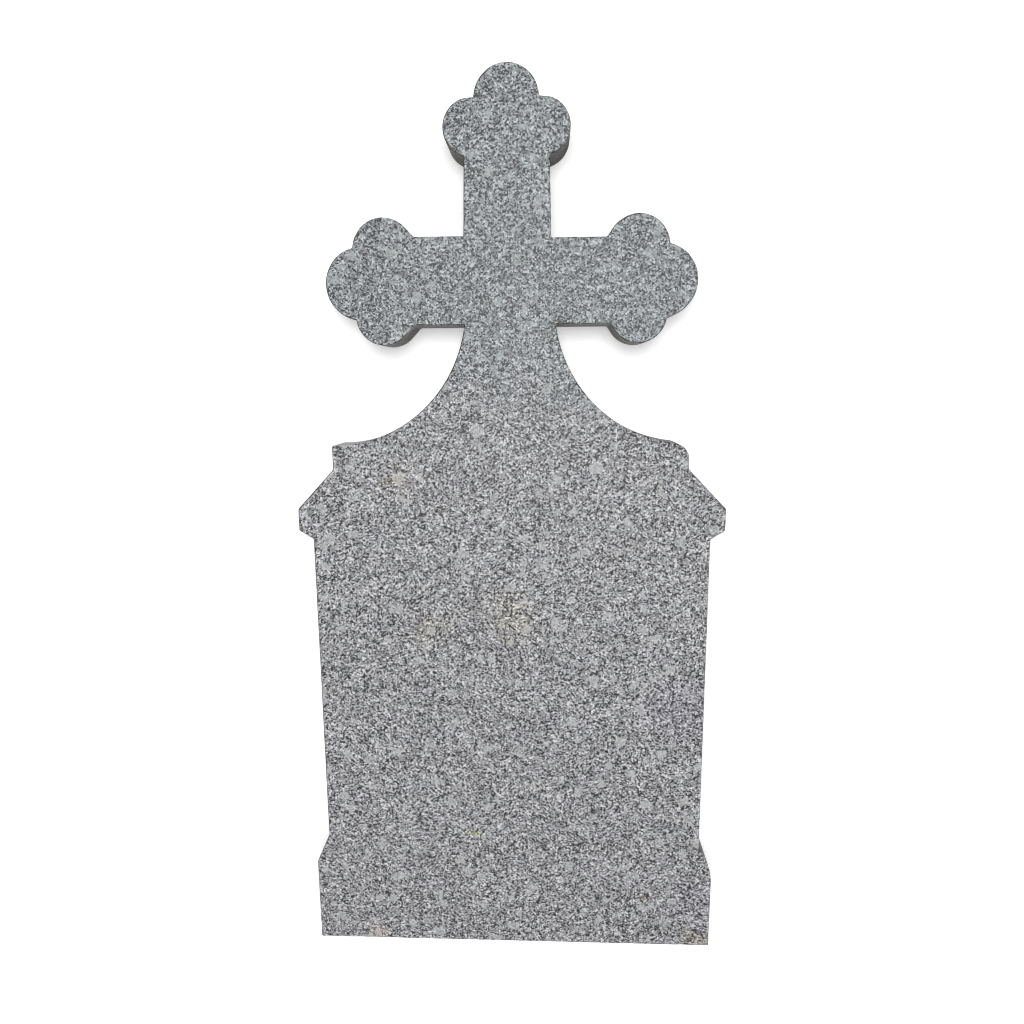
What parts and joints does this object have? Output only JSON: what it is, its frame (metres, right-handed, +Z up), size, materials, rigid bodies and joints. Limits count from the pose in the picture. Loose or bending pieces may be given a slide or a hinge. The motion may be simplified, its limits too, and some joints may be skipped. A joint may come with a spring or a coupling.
{
  "type": "orthodox grave monument",
  "caption": "Upright granite slab grave monument: a cross with trefoil ends over hollow shoulders, a cornice, a bare field and a base, all in one stone.",
  "frame": {"origin": "middle of the foot, half way through the slab's thickness, at the level of the ground", "axes": "+Z up along the height, +X to the viewer's right across the width, +Y through the thickness towards the back; the front faces -Y"},
  "size_m": [0.597, 0.06, 1.25],
  "materials": {
    "granite": "light grey granite with black mica and pale feldspar grains, finely ground face and sawn edges"
  },
  "bodies": {
    "root": {"granite_stele": "granite"}
  },
  "joints": []
}
